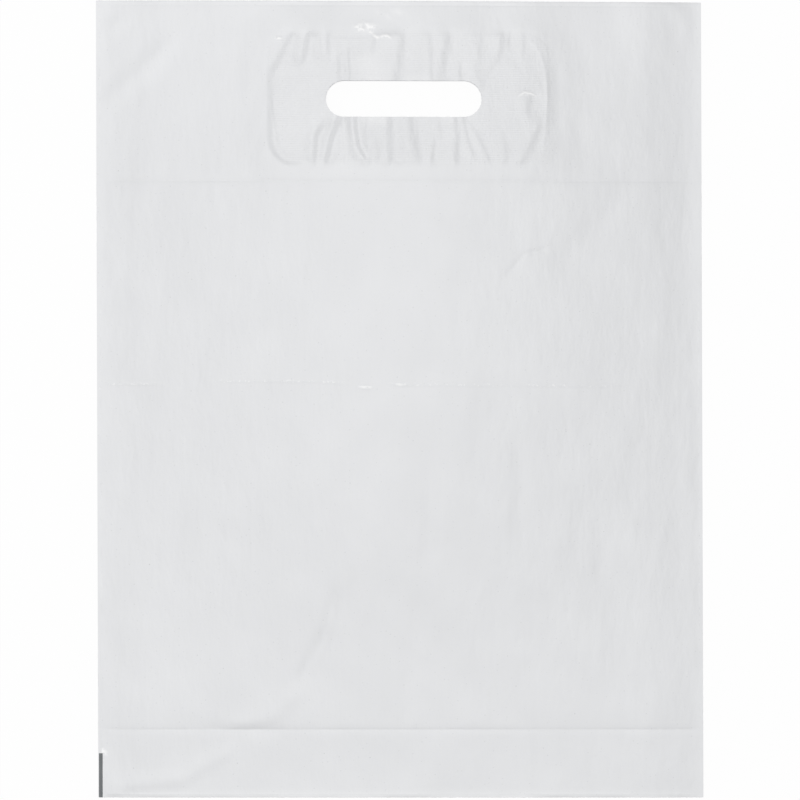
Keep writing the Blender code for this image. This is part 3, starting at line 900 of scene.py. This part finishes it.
def recycled_polyethylene():
    """Blown low-density polyethylene film with recycled content: a satin surface,
    cloudy tone, faint streaks along the run of the film and small dark gels.
    Over the patch its ribs press through. Sharp bends turn white under stress, and paler marks paint
    glints and highlights where the light would catch the film."""
    made, tree, shader, position = new_material("recycled polyethylene film")
    axes = add_node(tree, "SeparateXYZ", {0: position}).outputs

    cloud = add_node(
        tree, "TexNoise", {"Vector": position, "Scale": 1 / MOTTLE, "Detail": 4.0, "Roughness": 0.6}
    ).outputs["Fac"]
    stretched = add_node(
        tree, "Mapping", {"Vector": position, "Scale": (1 / STREAK, 1 / STREAK_LENGTH, 1 / STREAK)}
    ).outputs[0]
    streak = add_node(
        tree, "TexNoise", {"Vector": stretched, "Scale": 1.0, "Detail": 3.0}
    ).outputs["Fac"]
    grain = add_node(
        tree, "TexNoise", {"Vector": position, "Scale": 1 / GRAIN, "Detail": 2.0}
    ).outputs["Fac"]
    in_hem = add_node(tree, "Math", {0: axes["Y"], 1: HEM_EDGE}, operation="GREATER_THAN").outputs[0]
    to_mouth = add_node(
        tree, "MapRange", {"Value": axes["Y"], "From Min": HEM_EDGE, "From Max": MOUTH}
    ).outputs[0]
    in_gusset = add_node(tree, "Math", {0: axes["Y"], 1: GUSSET_FOLD}, operation="LESS_THAN").outputs[0]
    ribs = rib_lines(tree, axes["Y"], position)
    on_patch = add_node(tree, "Attribute", attribute_name="over_patch").outputs["Fac"]
    rib_mark = add_node(tree, "Math", {0: ribs, 1: on_patch}, operation="MULTIPLY").outputs[0]
    patch_grain = add_node(tree, "Math", {0: grain, 1: on_patch}, operation="MULTIPLY").outputs[0]

    tone = 1 - (CLOUD_TONE + STREAK_TONE + GRAIN_TONE) / 2
    for mark, share in (
        (cloud, CLOUD_TONE),
        (streak, STREAK_TONE),
        (grain, GRAIN_TONE),
        (in_hem, HEM_TONE),
        (to_mouth, MOUTH_TONE),
        (in_gusset, GUSSET_TONE),
        (on_patch, PATCH_TONE - PATCH_GRAIN_TONE / 2),
        (patch_grain, PATCH_GRAIN_TONE),
        (rib_mark, RIB_TONE),
    ):
        tone = add_node(tree, "Math", {0: mark, 1: share, 2: tone}, operation="MULTIPLY_ADD").outputs[0]
    body = add_node(
        tree, "VectorMath", {0: bag_settings().film_colour[:], "Scale": tone}, operation="SCALE"
    ).outputs[0]

    gelled = body
    for spacing, size, darkest, power in GELS:
        cells = add_node(tree, "TexVoronoi", {"Vector": position, "Scale": 1 / spacing}).outputs
        spot = add_node(
            tree,
            "MapRange",
            {
                "Value": cells["Distance"],
                "From Min": GEL_CORE * size / spacing,
                "From Max": GEL_EDGE * size / spacing,
                "To Min": darkest,
                "To Max": 0.0,
            },
            interpolation_type="SMOOTHSTEP",
        ).outputs[0]
        kind = add_node(tree, "SeparateColor", {0: cells["Color"]}).outputs[0]
        rare = add_node(tree, "Math", {0: kind, 1: power}, operation="POWER").outputs[0]
        strong = add_node(tree, "Math", {0: spot, 1: rare}, operation="MULTIPLY").outputs[0]
        gelled = add_node(
            tree, "Mix", {"Factor": strong, "A": gelled, "B": GEL_COLOUR}, data_type="RGBA"
        ).outputs["Result"]

    flecks = add_node(
        tree, "TexNoise", {"Vector": position, "Scale": 1 / FLECK, "Detail": 1.0}
    ).outputs["Fac"]
    # Painted glints and highlights, with film turned white by stress: the colour is mixed towards white
    # along the marks
    whitened_and_glinted = gelled
    for name, least, most, share in WHITE_AND_GLINT_MARKS:
        mark = add_node(tree, "Attribute", attribute_name=name).outputs["Fac"]
        broken = add_node(
            tree, "MapRange", {"Value": flecks, "From Min": least, "From Max": most}
        ).outputs[0]
        marked = add_node(tree, "Math", {0: mark, 1: broken}, operation="MULTIPLY").outputs[0]
        strength = add_node(tree, "Math", {0: marked, 1: share}, operation="MULTIPLY").outputs[0]
        whitened_and_glinted = add_node(
            tree, "Mix", {"Factor": strength, "A": whitened_and_glinted, "B": GLINT_AND_WHITE_COLOUR}, data_type="RGBA"
        ).outputs["Result"]

    on_edge = add_node(
        tree, "Math", {0: axes["X"], 1: BAR_X, 2: BAR_WIDTH / 2}, operation="COMPARE"
    ).outputs[0]
    below_top = add_node(tree, "Math", {0: axes["Y"], 1: BAR_TOP}, operation="LESS_THAN").outputs[0]
    facing = add_node(tree, "TexCoord").outputs["Normal"]
    upward = add_node(tree, "SeparateXYZ", {0: facing}).outputs["Z"]
    front = add_node(tree, "Math", {0: upward, 1: FACING_UP}, operation="GREATER_THAN").outputs[0]
    low_edge = add_node(tree, "Math", {0: on_edge, 1: below_top}, operation="MULTIPLY").outputs[0]
    bar = add_node(tree, "Math", {0: low_edge, 1: front}, operation="MULTIPLY").outputs[0]
    inked = add_node(
        tree, "Mix", {"Factor": bar, "A": whitened_and_glinted, "B": BAR_INK}, data_type="RGBA"
    ).outputs["Result"]
    tree.links.new(inked, shader.inputs["Base Color"])

    low, high = FILM_ROUGHNESS
    satin = add_node(
        tree,
        "MapRange",
        {"Value": cloud, "From Min": 0.3, "From Max": 0.7, "To Min": low, "To Max": high},
    ).outputs[0]
    tree.links.new(satin, shader.inputs["Roughness"])
    shader.inputs["IOR"].default_value = POLYETHYLENE_IOR
    shader.inputs["Metallic"].default_value = 0.0

    crinkled = None
    for (wide, tall), height, share in (
        (CRINKLE, CRINKLE_HEIGHT, 1.0),
        (GATHERED, GATHERED_HEIGHT, on_patch),
    ):
        pulled = add_node(
            tree, "Mapping", {"Vector": position, "Scale": (1 / wide, 1 / tall, 1 / wide)}
        ).outputs[0]
        pattern = add_node(
            tree, "TexNoise", {"Vector": pulled, "Scale": 1.0, "Detail": 3.0, "Roughness": 0.55}
        ).outputs["Fac"]
        inputs = {"Height": pattern, "Strength": share, "Distance": height}
        if crinkled:
            inputs["Normal"] = crinkled
        crinkled = add_node(tree, "Bump", inputs).outputs[0]
    ribbed = add_node(
        tree, "Bump", {"Height": rib_mark, "Strength": 1.0, "Distance": RIB_HEIGHT, "Normal": crinkled}
    ).outputs[0]
    dimpled = add_node(
        tree, "Bump", {"Height": grain, "Strength": 0.6, "Distance": GRAIN_HEIGHT, "Normal": ribbed}
    ).outputs[0]
    tree.links.new(dimpled, shader.inputs["Normal"])
    return made


def rib_lines(tree, y, position):
    """Fine ribs across the bag, slightly uneven."""
    drift = add_node(
        tree, "TexNoise", {"Vector": position, "Scale": RIB_DRIFT_SCALE, "Detail": 1.0}
    ).outputs["Fac"]
    worn = add_node(
        tree, "TexNoise", {"Vector": position, "Scale": RIB_WEAR_SCALE, "Detail": 2.0}
    ).outputs["Fac"]
    depth = add_node(tree, "MapRange", {"Value": worn, "From Min": 0.35, "From Max": 0.65}).outputs[0]
    even = add_node(tree, "Math", {0: y, 1: 2 * math.pi / RIB_PITCH}, operation="MULTIPLY").outputs[0]
    turns = add_node(
        tree, "Math", {0: drift, 1: RIB_DRIFT, 2: even}, operation="MULTIPLY_ADD"
    ).outputs[0]
    wave = add_node(tree, "Math", {0: turns}, operation="SINE").outputs[0]
    return add_node(tree, "Math", {0: wave, 1: depth}, operation="MULTIPLY").outputs[0]


def ribbed_sheet():
    """Calendered polyethylene sheet, thicker and whiter than the film, embossed
    with fine ribs that give it a dull, even surface."""
    made, tree, shader, position = new_material("ribbed polyethylene sheet")
    y = add_node(tree, "SeparateXYZ", {0: position}).outputs["Y"]
    ribs = rib_lines(tree, y, position)
    cloud = add_node(
        tree, "TexNoise", {"Vector": position, "Scale": 1 / MOTTLE, "Detail": 3.0}
    ).outputs["Fac"]
    tone = SHEET_TONE
    for mark, share in ((cloud, SHEET_CLOUD_TONE), (ribs, SHEET_RIB_TONE)):
        tone = add_node(tree, "Math", {0: mark, 1: share, 2: tone}, operation="MULTIPLY_ADD").outputs[0]
    body = add_node(
        tree, "VectorMath", {0: bag_settings().patch_colour[:], "Scale": tone}, operation="SCALE"
    ).outputs[0]
    tree.links.new(body, shader.inputs["Base Color"])
    shader.inputs["Roughness"].default_value = 0.45
    shader.inputs["IOR"].default_value = POLYETHYLENE_IOR
    bump = add_node(
        tree, "Bump", {"Height": ribs, "Strength": 1.0, "Distance": SHEET_RIB_HEIGHT}
    ).outputs[0]
    tree.links.new(bump, shader.inputs["Normal"])
    return made


class CarrierBagSettings(bpy.types.PropertyGroup):
    film_thickness: bpy.props.FloatProperty(
        name="Film",
        description="Thickness of the film",
        default=0.00012,
        precision=5,
        unit="LENGTH",
    )
    patch_thickness: bpy.props.FloatProperty(
        name="Patch",
        description="Thickness of each handle patch",
        default=0.00016,
        precision=5,
        unit="LENGTH",
    )
    gathers: bpy.props.FloatProperty(
        name="Gathers",
        description="How deep the puckers over the patch are, as a share of their usual depth",
        default=1.0,
        min=0.0,
        max=1.1,
    )
    film_colour: bpy.props.FloatVectorProperty(
        name="Film colour",
        description="Colour of the recycled film",
        default=linear("#E2E3E5"),
        subtype="COLOR",
    )
    patch_colour: bpy.props.FloatVectorProperty(
        name="Patch colour",
        description="Colour of the handle patches",
        default=linear("#E9EAEB"),
        subtype="COLOR",
    )


class BagStageSettings(bpy.types.PropertyGroup):
    key_power: bpy.props.FloatProperty(
        name="Key light",
        description="Power of the softbox above the bag",
        default=62.0,
        unit="POWER",
    )
    fill_power: bpy.props.FloatProperty(
        name="Fill light",
        description="Power of the softbox to the left of the bag",
        default=4.6,
        unit="POWER",
    )
    room_light: bpy.props.FloatProperty(
        name="Room light",
        description="Strength of the even light from all round",
        default=0.35,
    )
    floor_size: bpy.props.FloatProperty(
        name="Floor",
        description="Side of the square floor",
        default=6.0,
        unit="LENGTH",
    )


class CARRIERBAG_OT_film(bpy.types.Operator):
    """Folds one strip of film into the bag, welds its sides and punches the hole"""

    bl_idname = "carrier_bag.film"
    bl_label = "Bag film"

    def execute(self, context):
        bag = fold_strip("carrier_bag_film")
        thicken(bag, film_wall())
        for side in (-1, 1):
            combine(bag, side_weld(side), "UNION")
        combine(bag, hand_hole(), "DIFFERENCE")
        x, y, z = points_of(bag.data).T
        on_top = z > front_panel(x, y) - ON_TOP
        # Where the film is drawn paler: partly turned white by stress, partly painted glints and
        # highlights
        mark_points(bag, "whitening_and_glint", np.where(on_top, crumple(x, y), 0))
        mark_points(bag, "crease_whitening_and_glint", np.where(on_top, storage_crease(x, y), 0))
        mark_points(bag, "painted_highlight", np.where(on_top, painted_highlight(x, y), 0))
        mark_points(bag, "over_patch", np.where(on_top, over_patch(x, y), 0))
        finish_piece(
            bag, recycled_polyethylene(), "bag_film"
        )
        return {"FINISHED"}


class CARRIERBAG_OT_handle_patches(bpy.types.Operator):
    """Cuts the two ribbed patches that stiffen the film round the hand hole"""

    bl_idname = "carrier_bag.handle_patches"
    bl_label = "Handle patches"

    def execute(self, context):
        drop = (film_wall() + bag_settings().patch_thickness) / 2 + PATCH_GAP

        def under_front(x, y):
            return front_panel(x, y) - drop

        def on_back(x, y):
            return np.full_like(x, film_wall() / 2 + drop)

        surface = ribbed_sheet()
        for side, height, step in (
            ("front", under_front, FRONT_PATCH_STEP),
            ("back", on_back, BACK_PATCH_STEP),
        ):
            patch = self.patch(f"{side}_patch_sheet", height, step)
            node = f"{side}_handle_patch"
            finish_piece(patch, surface, node)
        return {"FINISHED"}

    def patch(self, name, height, step):
        """One patch, as a grid laid on a height and trimmed to its outline."""
        deselect_all()
        spare = PATCH_CORNER / 2
        bpy.ops.mesh.primitive_grid_add(
            x_subdivisions=round(PATCH_LENGTH / step),
            y_subdivisions=round(PATCH_WIDTH / step),
            size=1,
        )
        patch = bpy.context.object
        patch.name = patch.data.name = name
        unit = points_of(patch.data)
        x = PATCH_CENTRE[0] + unit[:, 0] * (PATCH_LENGTH + spare)
        y = PATCH_CENTRE[1] + unit[:, 1] * (PATCH_WIDTH + spare)
        place = np.column_stack([x, y, height(x, y)])
        patch.data.vertices.foreach_set("co", place.ravel())
        thicken(patch, bag_settings().patch_thickness)
        trim = rounded_block(
            "patch_trim", PATCH_CENTRE, PATCH_LENGTH, PATCH_WIDTH, PATCH_CORNER
        )
        combine(patch, trim, "INTERSECT")
        combine(patch, hand_hole(), "DIFFERENCE")
        return patch


# The camera looks straight down. Its view is this wide on the bag, and its middle
# is this far from the bag's.
VIEW_WIDTH = 0.4628
LENS = 400
SENSOR = 36
VIEW_CENTRE = (0.0002, -0.0006)

# The floor lies just under the bag, and this share of what the camera sees of it is
# plain white light. The rest keeps the bag's shadow.
FLOOR_LEVEL = -0.0002
FLOOR_WHITE = 0.96

# Middle and side of the softbox above the bag and of the one to its left
KEY_PLACE = (-0.04, 0.04, 4.0)
KEY_SIZE = 1.8
FILL_PLACE = (-1.1, 0.50, 1.1)
FILL_SIZE = 0.8


class CARRIERBAG_OT_stage(bpy.types.Operator):
    """Lays the pale floor and sets the softbox, the room light and the camera"""

    bl_idname = "carrier_bag.stage"
    bl_label = "Studio stage"

    def execute(self, context):
        self.floor()
        stage = context.scene.bag_stage
        self.softbox("key", KEY_PLACE, KEY_SIZE, stage.key_power)
        self.softbox("fill", FILL_PLACE, FILL_SIZE, stage.fill_power)
        self.room(context.scene)
        self.camera(context.scene)
        context.scene.view_settings.view_transform = "Standard"
        return {"FINISHED"}

    def floor(self):
        """A floor that reaches well past the view."""
        deselect_all()
        size = bpy.context.scene.bag_stage.floor_size
        bpy.ops.mesh.primitive_plane_add(size=size, location=(0, 0, FLOOR_LEVEL))
        floor = bpy.context.object
        floor.name = "floor"
        floor.data.materials.append(self.pale_floor())

    def seen_directly(self, tree):
        """1 for a camera, glossy or transmission ray, 0 for the rest."""
        rays = add_node(tree, "LightPath").outputs
        direct = add_node(
            tree, "Math", {0: rays["Is Camera Ray"], 1: rays["Is Glossy Ray"]}, operation="MAXIMUM"
        ).outputs[0]
        return add_node(
            tree, "Math", {0: direct, 1: rays["Is Transmission Ray"]}, operation="MAXIMUM"
        ).outputs[0]

    def pale_floor(self):
        """Matt white paper: it keeps a trace of the bag's shadow and reads white."""
        made, tree, shader, _ = new_material("matt white paper")
        shader.inputs["Base Color"].default_value = (*linear("#FAFAFA"), 1.0)
        shader.inputs["Roughness"].default_value = 0.9
        shader.inputs["Specular IOR Level"].default_value = 0.2
        glow = add_node(tree, "Emission", {"Strength": 1.0}).outputs[0]
        seen = self.seen_directly(tree)
        share = add_node(tree, "Math", {0: seen, 1: FLOOR_WHITE}, operation="MULTIPLY").outputs[0]
        mixed = add_node(tree, "MixShader", {0: share, 1: shader.outputs[0], 2: glow}).outputs[0]
        tree.links.new(mixed, tree.nodes["Material Output"].inputs["Surface"])
        return made

    def softbox(self, name, place, size, power):
        """A square lamp that faces the middle of the bag."""
        lamp = bpy.data.lights.new(name, "AREA")
        lamp.shape = "SQUARE"
        lamp.size = size
        lamp.energy = power
        holder = bpy.data.objects.new(name, lamp)
        bpy.context.scene.collection.objects.link(holder)
        holder.location = place
        holder.rotation_euler = Vector(place).to_track_quat("Z", "Y").to_euler()
        holder.visible_camera = False

    def room(self, scene):
        """Even light, which the camera and reflections see as plain white."""
        scene.world = bpy.data.worlds.new("room")
        scene.world.use_nodes = True
        tree = scene.world.node_tree
        even = scene.bag_stage.room_light
        seen = self.seen_directly(tree)
        strength = add_node(
            tree, "Math", {0: seen, 1: 1 - even, 2: even}, operation="MULTIPLY_ADD"
        ).outputs[0]
        tree.links.new(strength, tree.nodes["Background"].inputs["Strength"])
        tree.nodes["Background"].inputs["Color"].default_value = (1, 1, 1, 1)

    def camera(self, scene):
        """A long lens straight above the bag."""
        eye = bpy.data.cameras.new("camera")
        eye.lens = LENS
        eye.sensor_width = SENSOR
        holder = bpy.data.objects.new("camera", eye)
        scene.collection.objects.link(holder)
        holder.location = (*VIEW_CENTRE, VIEW_WIDTH * LENS / SENSOR)
        scene.camera = holder


class CARRIERBAG_PT_panel(bpy.types.Panel):
    bl_idname = "CARRIERBAG_PT_panel"
    bl_label = "Carrier Bag"
    bl_space_type = "VIEW_3D"
    bl_region_type = "UI"
    bl_category = "Carrier Bag"

    def draw(self, context):
        for settings in (context.scene.carrier_bag, context.scene.bag_stage):
            box = self.layout.box()
            for name in settings.__annotations__:
                box.prop(settings, name)
        for step in STEPS:
            self.layout.operator(step.bl_idname)


STEPS = (CARRIERBAG_OT_film, CARRIERBAG_OT_handle_patches, CARRIERBAG_OT_stage)
CLASSES = (CarrierBagSettings, BagStageSettings, *STEPS, CARRIERBAG_PT_panel)


def register():
    """Makes the bag's classes and values known to Blender."""
    for each in CLASSES:
        bpy.utils.register_class(each)
    bpy.types.Scene.carrier_bag = bpy.props.PointerProperty(type=CarrierBagSettings)
    bpy.types.Scene.bag_stage = bpy.props.PointerProperty(type=BagStageSettings)


def unregister():
    """Takes them out again."""
    del bpy.types.Scene.bag_stage
    del bpy.types.Scene.carrier_bag
    for each in reversed(CLASSES):
        bpy.utils.unregister_class(each)


def main():
    """Builds the bag and its stage."""
    register()
    bpy.ops.carrier_bag.film()
    bpy.ops.carrier_bag.handle_patches()
    bpy.ops.carrier_bag.stage()


if __name__ == "__main__":
    main()
